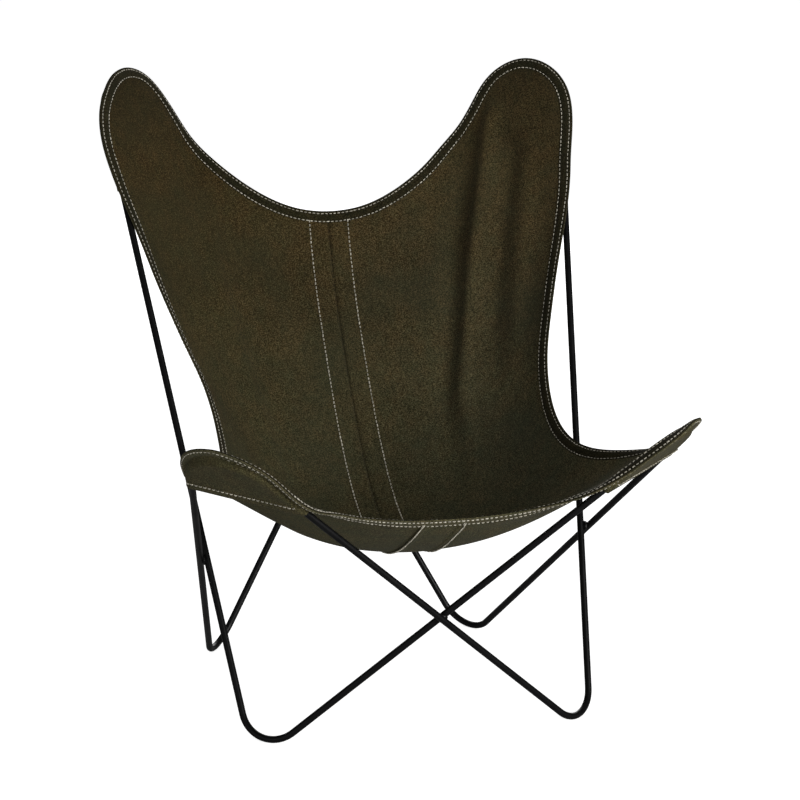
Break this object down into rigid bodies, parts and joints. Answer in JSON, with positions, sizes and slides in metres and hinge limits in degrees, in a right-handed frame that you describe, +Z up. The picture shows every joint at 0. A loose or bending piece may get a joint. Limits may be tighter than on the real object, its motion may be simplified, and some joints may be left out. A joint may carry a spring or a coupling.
{
  "type": "butterfly sling chair",
  "caption": "Low lounge chair: canvas sling hung by pockets on the tips of a welded frame of bent rod loops.",
  "frame": {"origin": "on the floor, under the middle of the chair's plan", "axes": "+X to the chair's right as seen from in front, +Y towards its back, +Z up"},
  "size_m": [0.7416, 0.7884, 0.8849],
  "materials": {
    "black_powder_coat": "satin powder coat",
    "olive_canvas": "matt plain-weave cotton canvas",
    "olive_binding": "matt folded canvas binding"
  },
  "bodies": {
    "root": {"rod_loop_left": "black_powder_coat", "rod_loop_right": "black_powder_coat", "weld_front": "black_powder_coat", "weld_back": "black_powder_coat", "weld_left": "black_powder_coat", "weld_right": "black_powder_coat", "seat_panel_left": "olive_canvas", "seat_panel_right": "olive_canvas", "seam_strip": "olive_canvas", "edge_binding": "olive_binding", "pocket_back_left": "olive_canvas", "pocket_back_right": "olive_canvas", "pocket_front_left": "olive_canvas", "pocket_front_right": "olive_canvas"}
  },
  "joints": []
}
